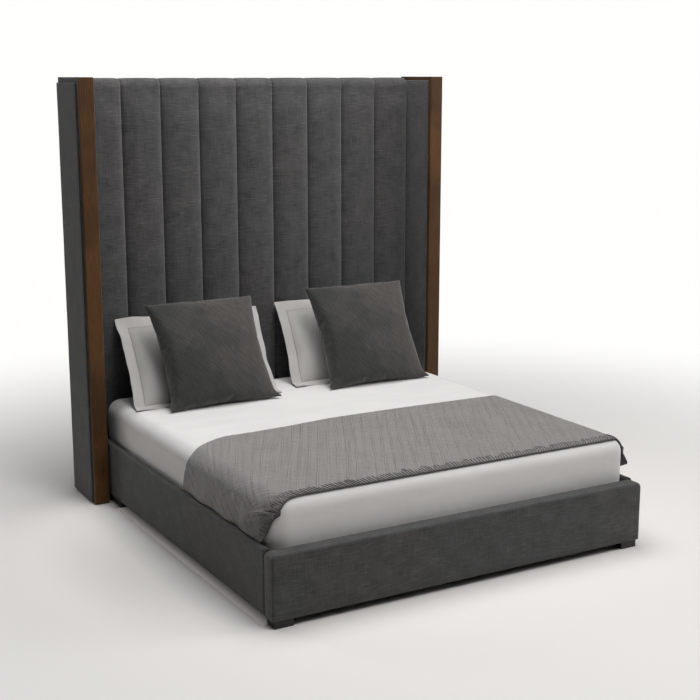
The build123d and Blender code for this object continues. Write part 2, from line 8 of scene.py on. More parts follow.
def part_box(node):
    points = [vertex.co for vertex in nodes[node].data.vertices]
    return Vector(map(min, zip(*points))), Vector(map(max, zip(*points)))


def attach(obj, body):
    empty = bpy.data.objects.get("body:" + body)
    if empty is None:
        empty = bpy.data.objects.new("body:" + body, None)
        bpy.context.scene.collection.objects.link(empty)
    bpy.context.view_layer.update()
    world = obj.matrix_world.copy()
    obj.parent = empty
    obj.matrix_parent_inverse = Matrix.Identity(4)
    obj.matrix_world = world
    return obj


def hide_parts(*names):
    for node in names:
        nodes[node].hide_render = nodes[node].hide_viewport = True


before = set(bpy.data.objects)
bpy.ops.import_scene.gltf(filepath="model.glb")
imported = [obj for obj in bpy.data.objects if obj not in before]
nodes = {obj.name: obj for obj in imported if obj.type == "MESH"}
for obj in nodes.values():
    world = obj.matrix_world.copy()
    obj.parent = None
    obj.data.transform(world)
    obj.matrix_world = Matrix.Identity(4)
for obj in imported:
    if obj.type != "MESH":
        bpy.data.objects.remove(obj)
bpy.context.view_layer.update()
scene = bpy.context.scene

# The studio: a pale floor under a wide overhead softbox, with weaker lights from the
# front, the right and the rear left. The camera stands off the foot's left corner, a
# little above the headboard's height.
camera_data = bpy.data.cameras.new("camera")
camera_data.lens = 67.24
camera_data.sensor_width = 36
camera = bpy.data.objects.new("camera", camera_data)
camera.location = (-3.2585, -5.6814, 2.2672)
camera.rotation_euler = (radians(78.066), 0, radians(-29.957))
scene.collection.objects.link(camera)
scene.camera = camera
scene.view_settings.view_transform = "Standard"


def shader_node(tree, kind, inputs=None, **settings):
    """Add a node to a tree, set its options and feed its inputs."""
    made = tree.nodes.new("ShaderNode" + kind)
    for option, value in settings.items():
        setattr(made, option, value)
    for key, value in (inputs or {}).items():
        if isinstance(value, bpy.types.NodeSocket):
            tree.links.new(value, made.inputs[key])
        else:
            made.inputs[key].default_value = value
    return made


def soft_light(name, place, aim, size, power):
    """A square softbox that points at a place."""
    light = bpy.data.lights.new(name, "AREA")
    light.shape = "SQUARE"
    light.size = size
    light.energy = power
    lamp = bpy.data.objects.new(name, light)
    lamp.location = place
    lamp.rotation_euler = (Vector(aim) - Vector(place)).to_track_quat("-Z", "Y").to_euler()
    scene.collection.objects.link(lamp)


soft_light("wide overhead softbox", (0, -0.4, 5.2), (0, -0.4, 0), 5.0, 90)
soft_light("overhead softbox", (0, 0.2, 4.6), (0, 0.2, 0), 2.6, 88)
soft_light("high front light", (0.5, -3.6, 6.0), (0, 0.4, 0.6), 2.5, 145)
soft_light("right light", (6.5, -3.2, 3.4), (0, 0, 0.9), 3.0, 160)
soft_light("rear left light", (-3.2, 3.6, 3.0), (-1.1, 0.6, 1.5), 1.2, 33)

world = bpy.data.worlds.new("studio air")
world.use_nodes = True
world.node_tree.nodes["Background"].inputs["Strength"].default_value = 0.0
scene.world = world


def stage_paint(name, kind, colour, fade=None, shade=None):
    """A plain paint for the floor or the backdrop.

    A fade is clear near the bed and full further out. A shade is painted shade that darkens a soft patch.
    """
    finish = bpy.data.materials.new(name)
    finish.use_nodes = True
    paint = finish.node_tree
    paint.nodes.clear()
    place = shader_node(paint, "TexCoord").outputs["Object"]

    def spread(centre, reach, near, far):
        shifted = shader_node(paint, "VectorMath", {0: place, 1: centre}, operation="SUBTRACT").outputs[0]
        scaled = shader_node(paint, "VectorMath", {0: shifted, 1: reach}, operation="DIVIDE").outputs[0]
        away = shader_node(paint, "VectorMath", {0: scaled}, operation="LENGTH").outputs["Value"]
        return shader_node(
            paint, "MapRange", {"Value": away, "From Min": near, "From Max": far}, interpolation_type="SMOOTHSTEP"
        ).outputs[0]

    surface = shader_node(paint, kind, {"Color": (*colour, 1)}).outputs[0]
    if shade:
        centre, reach, depth = shade
        # Painted shade: a darker copy of the paint, mixed in over a soft patch.
        shaded_paint = shader_node(paint, kind, {"Color": (*[part * depth for part in colour], 1)}).outputs[0]
        surface = shader_node(paint, "MixShader", {0: spread(centre, reach, 0.15, 1), 1: shaded_paint, 2: surface}).outputs[0]
    if fade:
        share = spread((0.1, -0.1, 0), (1, 1, 1), *fade)
        clear = shader_node(paint, "BsdfTransparent").outputs[0]
        surface = shader_node(paint, "MixShader", {0: share, 1: clear, 2: surface}).outputs[0]
    shader_node(paint, "OutputMaterial", {"Surface": surface})
    return finish


def stage_piece(name, form, finish, seen_only=False):
    """A piece of the studio. One that is only seen gives the bed no light."""
    mesh = bpy.data.meshes.new(name)
    form.to_mesh(mesh)
    form.free()
    mesh.materials.append(finish)
    piece = bpy.data.objects.new(name, mesh)
    scene.collection.objects.link(piece)
    if seen_only:
        piece.visible_diffuse = piece.visible_glossy = piece.visible_shadow = piece.visible_transmission = False


# The floor's paint has a painted shadow: a soft darker patch beside the left rail.
floor_paint = stage_paint(
    "studio floor", "BsdfDiffuse", (0.83, 0.808, 0.783), shade=((-1.12, -0.22, 0), (0.60, 1.05, 1), 0.74)
)
floor_glow = stage_paint("floor glow", "Emission", (1.0, 0.995, 0.975), (1.5, 5.0))
for name, level, finish, seen_only in (("floor", 0, floor_paint, False), ("floor_glow", 0.0005, floor_glow, True)):
    form = bmesh.new()
    bmesh.ops.create_circle(form, cap_ends=True, segments=96, radius=40)
    bmesh.ops.translate(form, vec=(0, 0, level), verts=form.verts)
    stage_piece(name, form, finish, seen_only)
# Painted light: a strip on the floor under the left rail, seen only by the camera, glows in place of the floor lit
# beneath the rail, with painted shade dimming it further in under the rail.
form = bmesh.new()
bmesh.ops.create_grid(form, x_segments=1, y_segments=1, size=0.5)
bmesh.ops.scale(form, vec=(0.22, 1.74, 1), verts=form.verts)
bmesh.ops.translate(form, vec=(-0.91, -0.18, 0.001), verts=form.verts)
painted_rail_light = stage_paint(
    "painted light under the rail", "Emission", (0.235, 0.223, 0.214), shade=((-0.945, 0, 0), (0.08, 100, 1), 0.25)
)
stage_piece("painted_light_under_left_rail", form, painted_rail_light, seen_only=True)
form = bmesh.new()
bmesh.ops.create_icosphere(form, subdivisions=3, radius=60)
stage_piece("backdrop", form, stage_paint("backdrop", "Emission", (1.0, 1.0, 0.985)), seen_only=True)


# The two wings. Each is a wooden core wrapped in charcoal linen, with a thin padded
# panel on its outer side and another on its inner side, both pulled tight and stapled.
def new_finish(name, roughness, **fixed):
    """A finish with a plain shader, ready for its pattern."""
    finish = bpy.data.materials.new(name)
    finish.use_nodes = True
    shader = finish.node_tree.nodes["Principled BSDF"]
    shader.inputs["Roughness"].default_value = roughness
    for socket, value in fixed.items():
        shader.inputs[socket.replace("_", " ")].default_value = value
    return finish, finish.node_tree, shader


def stretched(source, scale, turn=0):
    """Coordinates stretched along the axes, and turned about the third."""
    inputs = {"Vector": source, "Scale": scale, "Rotation": (0, 0, turn)}
    return shader_node(source.id_data, "Mapping", inputs).outputs[0]


def speckle(source, scale, detail=2, roughness=0.5):
    """A cloudy pattern from 0 to 1."""
    inputs = {"Vector": source, "Scale": scale, "Detail": detail, "Roughness": roughness}
    return shader_node(source.id_data, "TexNoise", inputs).outputs["Fac"]


def streaks(source, scale, detail=3, roughness=0.6, turn=0):
    """A cloudy pattern stretched along the axes."""
    return speckle(stretched(source, scale, turn), 1, detail, roughness)


def band(value, low, high):
    """A value spread between two levels, and held to 0 to 1 outside them."""
    return shader_node(value.id_data, "MapRange", {"Value": value, "From Min": low, "From Max": high}).outputs[0]


def blended(share, first, second, mode="MIX"):
    """Two colours mixed. The share or the first colour comes from a pattern."""
    pattern = share if isinstance(share, bpy.types.NodeSocket) else first
    made = shader_node(pattern.id_data, "Mix", {0: share}, data_type="RGBA", blend_type=mode)
    for slot, value in ((6, first), (7, second)):
        if isinstance(value, bpy.types.NodeSocket):
            made.id_data.links.new(value, made.inputs[slot])
        else:
            made.inputs[slot].default_value = (*value, 1)
    return made.outputs[2]


def sum_of(*parts):
    """Several values, each times its weight, added together. The first is a pattern."""
    total = 0.0
    for value, weight in parts:
        inputs = {0: value, 1: weight, 2: total}
        total = shader_node(parts[0][0].id_data, "Math", inputs, operation="MULTIPLY_ADD").outputs[0]
    return total


def product(first, second):
    """Two values multiplied."""
    return shader_node(first.id_data, "Math", {0: first, 1: second}, operation="MULTIPLY").outputs[0]


def unsigned(value):
    """A value without its sign."""
    return shader_node(value.id_data, "Math", {0: value}, operation="ABSOLUTE").outputs[0]


def coloured(shader, share, first, second, mode="MIX"):
    """Feed a shader its colour, mixed from two."""
    shader.id_data.links.new(blended(share, first, second, mode), shader.inputs["Base Color"])


def raised(shader, height, distance, strength=1.0):
    """Turn a pattern into relief on a shader."""
    inputs = {"Height": height, "Distance": distance, "Strength": strength}
    relief = shader_node(shader.id_data, "Bump", inputs).outputs[0]
    shader.id_data.links.new(relief, shader.inputs["Normal"])


def threads(tree):
    """The coordinates that were laid along a cloth's threads, in metres."""
    return shader_node(tree, "UVMap", uv_map="threads").outputs[0]


def bed_place(tree):
    """The coordinates of the bed itself, in metres."""
    return shader_node(tree, "TexCoord").outputs["Object"]


def split(source):
    """Coordinates one by one."""
    return shader_node(source.id_data, "SeparateXYZ", {0: source}).outputs


def waves(source, scale, direction="X", distortion=0.0):
    """Even ridges across the coordinates."""
    inputs = {"Vector": source, "Scale": scale, "Distortion": distortion, "Detail": 1.0}
    return shader_node(source.id_data, "TexWave", inputs, bands_direction=direction).outputs["Fac"]


def crossed(source, scale):
    """Even ridges both ways across the coordinates."""
    return sum_of((waves(source, scale, "X"), 0.5), (waves(source, scale, "Y"), 0.5))


charcoal_linen, tree, shader = new_finish("charcoal linen", 0.92, Sheen_Weight=0.25, Sheen_Roughness=0.45)
cloth = threads(tree)
weft = streaks(cloth, (15, 190, 1))
warp = streaks(cloth, (220, 11, 1))
weft_slubs = band(streaks(cloth, (12, 150, 1), 2, 0.5), 0.57, 0.72)
warp_slubs = band(streaks(cloth, (120, 13, 1), 2, 0.5), 0.6, 0.74)
patches = speckle(cloth, 11, 4, 0.6)
drift = band(speckle(cloth, 1.6, 2), 0.4, 0.6)
tone = sum_of((weft, 0.46), (warp, 0.34), (weft_slubs, 0.17), (warp_slubs, 0.10), (patches, 0.42))
shade = blended(band(tone, 0.43, 0.93), (0.024, 0.024, 0.0255), (0.100, 0.099, 0.097))
tint = blended(drift, (0.97, 1.0, 1.0), (1.04, 0.99, 0.985))
coloured(shader, 1.0, shade, tint, "MULTIPLY")
weave = sum_of(
    (waves(cloth, 150, "X"), 0.25),
    (waves(cloth, 150, "Y"), 0.25),
    (weft, 0.5),
    (warp, 0.4),
    (weft_slubs, 0.8),
    (warp_slubs, 0.6),
)
raised(shader, weave, 0.0011, 0.8)


def block_form(low, high):
    """A plain block between two corners."""
    form = bmesh.new()
    bmesh.ops.create_cube(form, size=1)
    bmesh.ops.scale(form, vec=high - low, verts=form.verts)
    bmesh.ops.translate(form, vec=(low + high) / 2, verts=form.verts)
    return form


def rounded(form, edges, radius, segments):
    """Round some edges of a form."""
    bmesh.ops.bevel(
        form, geom=edges, offset=radius, segments=segments, profile=0.5, affect="EDGES", material=-1, clamp_overlap=True
    )


def diced(form, low, high, step):
    """Cut a form across at a steady step, so that it can be shaped."""
    for axis in range(3):
        count = int((high[axis] - low[axis]) / step)
        for number in range(1, count):
            place = low.copy()
            place[axis] += (high[axis] - low[axis]) * number / count
            across = Vector((0, 0, 0))
            across[axis] = 1
            whole = form.verts[:] + form.edges[:] + form.faces[:]
            bmesh.ops.bisect_plane(form, geom=whole, plane_co=place, plane_no=across)


def uneven(x, y, z):
    """A smooth unevenness between -1 and 1, the same on every run."""
    return noise.noise(Vector((x, y, z)))


def rippled(form, amount, scale, seed=0):
    """Give a tight cloth surface its slight unevenness."""
    form.normal_update()
    shift = Vector((seed, 3.1, 0))
    moves = [vert.normal * amount * noise.noise(vert.co * scale + shift) for vert in form.verts]
    for vert, move in zip(form.verts, moves):
        vert.co += move


def flat_on_each_side(place, normal):
    """Cloth that runs straight up the sides and along the top."""
    x, y, z = place
    if abs(normal.z) > 0.7:
        return x, y
    return (x, z) if abs(normal.y) > abs(normal.x) else (y, z)


def lay_threads(form, laid=None):
    """Lay a cloth's threads on a form, in metres, as laid for its corners or flat on each side."""
    form.normal_update()
    layer = form.loops.layers.uv.new("threads")
    for face in form.faces:
        for loop in face.loops:
            loop[layer].uv = laid[loop.vert] if laid else flat_on_each_side(loop.vert.co, face.normal)


def make_piece(name, form, finish, hides=(), body="root"):
    """Finish a form as a piece of the bed, which rides on a body and stands for CAD nodes."""
    bmesh.ops.recalc_face_normals(form, faces=form.faces)
    mesh = bpy.data.meshes.new(name)
    form.to_mesh(mesh)
    form.free()
    mesh.shade_smooth()
    mesh.materials.append(finish)
    piece = bpy.data.objects.new(name, mesh)
    scene.collection.objects.link(piece)
    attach(piece, body)
    if hides:
        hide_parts(*hides)
    return piece


def covered_board(name, node, radius, step=0.03):
    """A board under pulled cloth, with softened edges."""
    low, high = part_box(node)
    form = block_form(low, high)
    rounded(form, form.edges[:], radius, 3)
    diced(form, low, high, step)
    rippled(form, 0.0007, 9, len(name))
    lay_threads(form)
    return make_piece(name, form, charcoal_linen, [node])


for side in ("left", "right"):
    covered_board(f"{side}_wing_wrap", f"{side}_wing_core", 0.0035)
    covered_board(f"{side}_wing_outer_pad", f"{side}_wing_outer_panel", 0.004)
    covered_board(f"{side}_wing_inner_pad", f"{side}_wing_inner_panel", 0.004)


# Walnut facings on the wings' front edges and walnut boards on their inner sides, in
# solid timber with upright grain and a satin finish.
def timber_finish(name, along, dark, middle, light, roughness=0.5, width=26, gloss=0.5):
    """Planed wood with its grain along an axis."""
    finish, tree, shader = new_finish(name, roughness, Specular_IOR_Level=gloss)
    place = bed_place(tree)
    long, short = [width] * 3, [width * 14] * 3
    long[along], short[along] = width * 0.045, width * 0.5
    figure = streaks(place, long, 5, 0.62)
    rings = shader_node(
        tree,
        "TexWave",
        {"Vector": stretched(place, long), "Scale": 0.9, "Distortion": 5.0, "Detail": 3.0, "Detail Scale": 1.2},
        bands_direction="Y" if along == 0 else "X",
    ).outputs["Fac"]
    pores = streaks(place, short, 2, 0.6)
    base = blended(band(sum_of((figure, 0.7), (rings, 0.3)), 0.3, 0.72), dark, light)
    base = blended(band(figure, 0.38, 0.6), base, middle)
    drift = band(streaks(place, (2.2, 2.2, 3.4), 2, 0.5), 0.42, 0.62)
    base = blended(sum_of((drift, 0.7)), base, light)
    coloured(shader, band(pores, 0.5, 0.78), base, dark)
    raised(shader, sum_of((pores, -0.7), (figure, 0.2)), 0.0006, 0.5)
    return finish


def dress(finish, *names):
    """Give CAD nodes their finish."""
    for name in names:
        nodes[name].data.materials.clear()
        nodes[name].data.materials.append(finish)


walnut = timber_finish(
    "walnut", 2, (0.030, 0.0127, 0.0039), (0.067, 0.0274, 0.0068), (0.116, 0.0515, 0.0130), 0.5, 30, 0.3
)
for side in ("left", "right"):
    dress(walnut, f"{side}_wing_facing", f"{side}_wing_inner_board")

# The headboard's frame: two softwood posts and three cross rails, with birch plywood
# in front that carries the padding.
softwood = ((0.33, 0.22, 0.13), (0.48, 0.36, 0.23), (0.58, 0.46, 0.32), 0.6)
upright_timber = timber_finish("upright timber", 2, *softwood)
cross_timber = timber_finish("cross timber", 0, *softwood)
dress(upright_timber, "headboard_left_post", "headboard_right_post")
dress(cross_timber, "headboard_bottom_rail", "headboard_middle_rail", "headboard_top_rail")

plywood, tree, shader = new_finish("plywood", 0.62)
place = bed_place(tree)
veneer = streaks(place, (20, 20, 1.2), 4, 0.6)
plies = waves(place, 130, "Y")
face_colour = blended(band(veneer, 0.3, 0.7), (0.42, 0.29, 0.16), (0.62, 0.48, 0.31))
coloured(shader, band(plies, 0.55, 0.7), face_colour, (0.34, 0.22, 0.12))
raised(shader, veneer, 0.0004, 0.4)
dress(plywood, "headboard_backing")

# Nine upright channels of foam under linen, stitched side by side to the plywood and
# rolled back over the headboard's top.
def cut_block(cuts_x, cuts_y, cuts_z):
    """A block from -1 to 1 with even cuts across each axis."""
    form = bmesh.new()
    bmesh.ops.create_cube(form, size=2)
    for axis, cuts in enumerate((cuts_x, cuts_y, cuts_z)):
        if cuts:
            along = [edge for edge in form.edges if abs(edge.verts[0].co[axis] - edge.verts[1].co[axis]) > 1e-4]
            bmesh.ops.subdivide_edges(form, edges=along, cuts=cuts, use_grid_fill=True)
    return form


channel_rows, roll_rows = 56, 16
frame_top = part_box("headboard_top_rail")[1].z
roll_line_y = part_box("headboard_left_post")[1].y
backing_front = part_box("headboard_backing")[0].y
channel_crown = 0.030
thinned_run = 0.11
side_reach = roll_line_y - backing_front + 0.012
top_reach = 0.0601
for number in range(1, 10):
    low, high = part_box(f"channel_pad_{number}")
    middle, half = (low.x + high.x) / 2, (high.x - low.x) / 2
    form = cut_block(25, 0, channel_rows + roll_rows - 1)
    laid = {}
    for vert in form.verts:
        share = sin(vert.co.x * 1.35) / sin(1.35)
        row = (vert.co.z + 1) / 2 * (channel_rows + roll_rows)
        in_front = vert.co.y < 0
        upright = min(row / channel_rows, 1)
        turn = max(row - channel_rows, 0) / roll_rows
        z = low.z + (frame_top - low.z) * upright
        fullness = 1 - abs(share) ** 2.9
        run = z + turn * thinned_run
        rise = max(run - frame_top + thinned_run, 0) / (2 * thinned_run)
        crown = channel_crown * (0.05 + 0.95 * (1 - rise) ** 1.6) * fullness
        gather = 0.0016 * uneven(number * 5 + share * 1.2, run * 16, 0) * abs(share) ** 2
        gather += 0.0022 * uneven(number * 9 + share * 4, run * 3, 7) * fullness
        pucker = 0.0022 * sin(run * 230 + number) * exp(-(1 - abs(share)) * 9) * turn * (1 - turn) * 4
        reach = side_reach + (top_reach - side_reach) * turn + side_reach * 0.15 * sin(turn * pi) ** 1.2
        reach += crown + gather * (1 - turn) + pucker - 0.010 * exp(-(1 - abs(share)) * 24) * (1 - rise) ** 0.5
        if not in_front:
            reach = side_reach - 0.012 if turn == 0 else 0.003
        vert.co = (
            middle + half * share,
            roll_line_y - reach * cos(turn * pi / 2),
            z + reach * sin(turn * pi / 2),
        )
        laid[vert] = (middle + half * share * 1.03, run)
    lay_threads(form, laid)
    pad = make_piece(f"channel_{number}", form, charcoal_linen, [f"channel_pad_{number}"])

# Behind and below the headboard: a covered lower panel that shows only under the
# mattress, and a back panel in black lining cloth, stapled round its edge.
covered_board("headboard_lower_cover", "headboard_lower_panel", 0.003, 0.05)

lining, tree, shader = new_finish("black lining", 0.95, Sheen_Weight=0.1)
cloth = threads(tree)
fibres = speckle(cloth, 240, 4, 0.7)
dots = shader_node(tree, "TexVoronoi", {"Vector": cloth, "Scale": 420, "Randomness": 0.15}).outputs["Distance"]
coloured(shader, band(fibres, 0.3, 0.75), (0.012, 0.012, 0.013), (0.04, 0.04, 0.042))
raised(shader, sum_of((fibres, 0.5), (dots, 0.5)), 0.0004, 0.7)
low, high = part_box("headboard_back_panel")
form = block_form(low, high)
rounded(form, form.edges[:], 0.002, 2)
diced(form, low, high, 0.05)
rippled(form, 0.0006, 6)
lay_threads(form)
make_piece("headboard_back_cover", form, lining, ["headboard_back_panel"])

steel, tree, shader = new_finish("zinc-plated steel", 0.38, Metallic=0.9)
place = bed_place(tree)
brushed = streaks(place, (260, 260, 40))
blooms = speckle(place, 40, 3)
coloured(shader, band(blooms, 0.35, 0.7), (0.42, 0.43, 0.44), (0.66, 0.66, 0.64))
tree.links.new(sum_of((brushed, 0.25), (blooms, 0.3)), shader.inputs["Roughness"])
raised(shader, brushed, 0.0002, 0.4)

staple_inset, crown_length, wire = 0.012, 0.010, 0.0012
left, right = low.x + staple_inset, high.x - staple_inset
bottom, top = low.z + staple_inset, high.z - staple_inset
places = [(x, bottom + (top - bottom) * step / 44, wire, crown_length) for step in range(45) for x in (left, right)]
places += [(left + (right - left) * step / 41, z, crown_length, wire) for step in range(1, 41) for z in (bottom, top)]
staples = bmesh.new()
for x, z, width, height in places:
    spot = Matrix.Translation((x, high.y + 0.0002, z)) @ Matrix.Diagonal((width, wire, height, 1))
    bmesh.ops.create_cube(staples, size=1, matrix=spot)
rounded(staples, staples.edges[:], 0.0003, 1)
make_piece("back_cover_staples", staples, steel)

# Side rails: a board on edge with thin foam and linen pulled over its top and both
# sides, a ledger screwed along its inner face and a strip of black lining underneath.
rail_timber = timber_finish("rail timber", 1, *softwood)
dress(rail_timber, "left_rail_board", "right_rail_board", "left_rail_ledger", "right_rail_ledger", "centre_beam")


def thickened(piece, name, thickness, offset):
    """Give a thin surface its thickness."""
    layer = piece.modifiers.new(name, "SOLIDIFY")
    layer.thickness = thickness
    layer.offset = offset


def dust_strip(name, low, high):
    """A strip of black lining between two corners, under a rail or the footboard."""
    form = block_form(low, high)
    diced(form, low, high, 0.03)
    lay_threads(form)
    return make_piece(name, form, lining)


rail_radius, rail_crown, rail_foam = 0.012, 0.007, 0.0052
skirt_z = 0.2625
lining_inset, lining_depth = 0.0015, 0.0008
for side, sign in (("left", -1), ("right", 1)):
    low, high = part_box(f"{side}_rail_cover")
    high = high + Vector((0, 0, rail_crown))
    inner = high.x if sign < 0 else low.x
    outer = low.x if sign < 0 else high.x
    shoulder = high.z - rail_radius
    profile = [(inner, skirt_z + (shoulder - skirt_z) * step / 4) for step in range(4)]
    arcs = ((inner + sign * rail_radius, pi, pi / 2), (outer - sign * rail_radius, pi / 2, 0))
    for centre, start, end in arcs:
        for step in range(7):
            turn = start + (end - start) * step / 6
            profile.append((centre + sign * rail_radius * cos(turn), shoulder + rail_radius * sin(turn)))
    profile += [(outer, shoulder - (shoulder - low.z) * step / 12) for step in range(1, 13)]
    run = 0
    runs = [0]
    for first, second in zip(profile, profile[1:]):
        run += hypot(second[0] - first[0], second[1] - first[1])
        runs.append(run)
    form = bmesh.new()
    bmesh.ops.create_grid(form, x_segments=len(profile) - 1, y_segments=76, size=1)
    laid = {}
    for vert in form.verts:
        place = round((vert.co.x + 1) / 2 * (len(profile) - 1))
        y = low.y + (high.y - low.y) * (vert.co.y + 1) / 2
        laid[vert] = (y, runs[place])
        vert.co = (profile[place][0], y, profile[place][1])
    rippled(form, 0.0008, 7, 4)
    for vert in form.verts:
        vert.co.y = min(max(vert.co.y, low.y), high.y)
    lay_threads(form, laid)
    cover = make_piece(f"{side}_rail_padding", form, charcoal_linen, [f"{side}_rail_cover"])
    thickened(cover, "foam", rail_foam, -1)
    front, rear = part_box(f"{side}_front_foot")[1].y + 0.002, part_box("rear_feet")[0].y - 0.002
    strip_low = Vector((min(inner, outer) + lining_inset, front, low.z - lining_depth))
    strip_high = Vector((max(inner, outer) - lining_inset, rear, low.z))
    strip = dust_strip(f"{side}_rail_dust_strip", strip_low, strip_high)

# The footboard: a solid core inside one foam and linen cover with rounded top corners,
# closed by lining underneath, on two low black feet that are screwed up into it.
dress(cross_timber, "footboard_core")
low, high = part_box("footboard_cover")
form = block_form(low, high)
top_ends = [
    edge
    for edge in form.edges
    if min(vert.co.z for vert in edge.verts) > high.z - 1e-5
    and abs(edge.verts[0].co.y - edge.verts[1].co.y) > 0.01
]
top_radius, front_radius, rear_radius = 0.026, 0.013, 0.004
rounded(form, top_ends, top_radius, 8)
for rim_y, radius, segments in ((low.y, front_radius, 5), (high.y, rear_radius, 2)):
    rim = [
        edge
        for edge in form.edges
        if all(abs(vert.co.y - rim_y) < 1e-5 for vert in edge.verts)
        and max(vert.co.z for vert in edge.verts) > low.z + 1e-5
    ]
    rounded(form, rim, radius, segments)
underside = max((face for face in form.faces if face.normal.z < -0.9), key=lambda face: face.calc_area())
footboard_foam = 0.0098
bmesh.ops.inset_region(form, faces=[underside], thickness=footboard_foam)
hollow = bmesh.ops.extrude_face_region(form, geom=[underside])
bmesh.ops.translate(
    form,
    vec=(0, 0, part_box("footboard_core")[1].z - low.z + 0.0003),
    verts=[item for item in hollow["geom"] if isinstance(item, bmesh.types.BMVert)],
)
bmesh.ops.delete(form, geom=[face for face in form.faces if face == underside], context="FACES_ONLY")
diced(form, low, high, 0.03)
rippled(form, 0.0010, 8, 9)
lay_threads(form)
make_piece("footboard_padding", form, charcoal_linen, ["footboard_cover"])
foot_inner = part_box("right_front_foot")[0].x - 0.002
strip_low = Vector((-foot_inner, low.y + 0.004, low.z - lining_depth))
strip_high = Vector((foot_inner, high.y - 0.004, low.z))
strip = dust_strip("footboard_dust_strip", strip_low, strip_high)

black_foot = timber_finish(
    "black stained foot", 0, (0.006, 0.006, 0.006), (0.014, 0.013, 0.012), (0.026, 0.024, 0.022), 0.45
)
dress(black_foot, "left_front_foot", "right_front_foot", "rear_feet")

# Under the mattress: slats screwed to the ledgers, and a centre beam that drops into a
# steel saddle at each end and stands on three legs with screw-in glides.
dress(cross_timber, "slats")
dress(upright_timber, "centre_leg_1", "centre_leg_2", "centre_leg_3")
dress(steel, "beam_brackets", "corner_brackets", "bracket_bolts", "wing_bolts", "slat_screws", "foot_screws")
glide_plastic, tree, shader = new_finish("glide plastic", 0.5)
place = bed_place(tree)
grit = speckle(place, 900, 3, 0.6)
scuffs = streaks(place, (60, 220, 60), 4, 0.7)
coloured(shader, band(scuffs, 0.45, 0.8), (0.018, 0.018, 0.019), (0.06, 0.06, 0.06))
tree.links.new(band(scuffs, -0.5, 1.4), shader.inputs["Roughness"])
raised(shader, grit, 0.0003, 0.5)
dress(glide_plastic, "levelling_glide_1", "levelling_glide_2", "levelling_glide_3", "wing_glides")

# The mattress: a deep pocket-spring block in quilted ticking with a wide border. Its
# corners are rounded, and its top edge more than its bottom edge.
ticking, tree, shader = new_finish("mattress ticking", 0.85, Sheen_Weight=0.15)
cloth = threads(tree)
quilting = crossed(stretched(cloth, (1, 1, 1), radians(45)), 4.5)
damask = speckle(cloth, 60, 3)
coloured(shader, band(damask, 0.3, 0.7), (0.62, 0.6, 0.56), (0.78, 0.76, 0.72))
raised(shader, sum_of((quilting, 1.0), (damask, 0.15)), 0.006, 0.8)

mattress_low, mattress_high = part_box("mattress")
mattress_middle = (mattress_low + mattress_high) / 2
mattress_corner, tight_corner, mattress_top_round, mattress_bottom_round = 0.088, 0.052, 0.068, 0.030


def corner_radius(x, y, grow):
    """How round a corner of the mattress is. The one at the foot's right is tighter."""
    return (tight_corner if x > 0 and y < 0 else mattress_corner) + grow


def over_edge(x, y, z, grow):
    """Where a point of the square-edged block lies over the mattress's rounded edges.

    It is counted from the mattress's middle, and a point beyond an edge goes down the side.
    """
    half = (mattress_high - mattress_low) / 2 + Vector((grow, grow, grow))
    corner = corner_radius(x, y, grow)
    far_x, far_y, far_z = abs(x), abs(y), abs(z)
    dx, dy = max(far_x - half.x + corner, 0), max(far_y - half.y + corner, 0)
    if dx > 0 and dy > 0:
        inset = corner - hypot(dx, dy)
        inward = (-dx / hypot(dx, dy), -dy / hypot(dx, dy))
    elif half.x - far_x < half.y - far_y:
        inset, inward = half.x - far_x, (-1, 0)
    else:
        inset, inward = half.y - far_y, (0, -1)
    radius = (mattress_top_round if z > 0 else mattress_bottom_round) + grow
    drop = half.z - far_z
    if inset < 0:
        far_x, far_y = far_x - inward[0] * inset, far_y - inward[1] * inset
        drop, inset, far_z = drop - inset, 0, far_z + inset
    if inset < radius and drop < radius:
        turn = pi / 4 * (1 + inset / radius) if drop < 1e-7 else pi / 4 * (1 - drop / radius)
        pull = radius * (1 - cos(turn)) - inset
        far_x, far_y = far_x + inward[0] * pull, far_y + inward[1] * pull
        far_z = half.z - radius * (1 - sin(turn))
    return mattress_middle + Vector((copysign(far_x, x), copysign(far_y, y), copysign(far_z, z)))


def on_mattress(share, grow):
    """Where a point of a plain block, in shares from -1 to 1, lies on the rounded mattress."""
    half = (mattress_high - mattress_low) / 2 + Vector((grow, grow, grow))
    corner = corner_radius(share[0], share[1], grow)
    x, y = abs(share[0]) * half.x, abs(share[1]) * half.y
    dx, dy = max(x - half.x + corner, 0), max(y - half.y + corner, 0)
    if dx > 0 and dy > 0:
        shrink = max(dx, dy) / hypot(dx, dy)
        x, y = x - dx + dx * shrink, y - dy + dy * shrink
    return over_edge(copysign(x, share[0]), copysign(y, share[1]), share[2] * half.z, grow)


form = cut_block(64, 68, 11)
for vert in form.verts:
    vert.co = on_mattress(vert.co, -0.003)
lay_threads(form)
make_piece("mattress_block", form, ticking, ["mattress"], "mattress")

# The fitted sheet: white cotton stretched over the mattress and tucked underneath,
# where elastic holds it. It shows small tension creases at the corners and foot.
sheet_cotton, tree, shader = new_finish("sheet cotton", 0.8, Sheen_Weight=0.2, Sheen_Roughness=0.5)
cloth = threads(tree)
soft_creases = streaks(cloth, (3, 9, 1), 3, 0.5, turn=0.4)
fine_creases = streaks(cloth, (40, 9, 1))
percale = crossed(cloth, 700)
part = split(bed_place(tree))
# Painted shade: the sheet is painted darker where it turns down between the mattress and the left wing, where the
# wing's shadow falls.
painted_wing_shade = product(band(part[1], 0.70, 0.80), band(part[0], -0.85, -0.94))
colour = blended(band(soft_creases, 0.25, 0.75), (0.685, 0.67, 0.65), (0.75, 0.735, 0.715))
coloured(shader, sum_of((painted_wing_shade, 0.75)), colour, (0.25, 0.248, 0.245))
raised(shader, sum_of((soft_creases, 1.0), (fine_creases, 0.25), (percale, 0.01)), 0.004, 0.35)

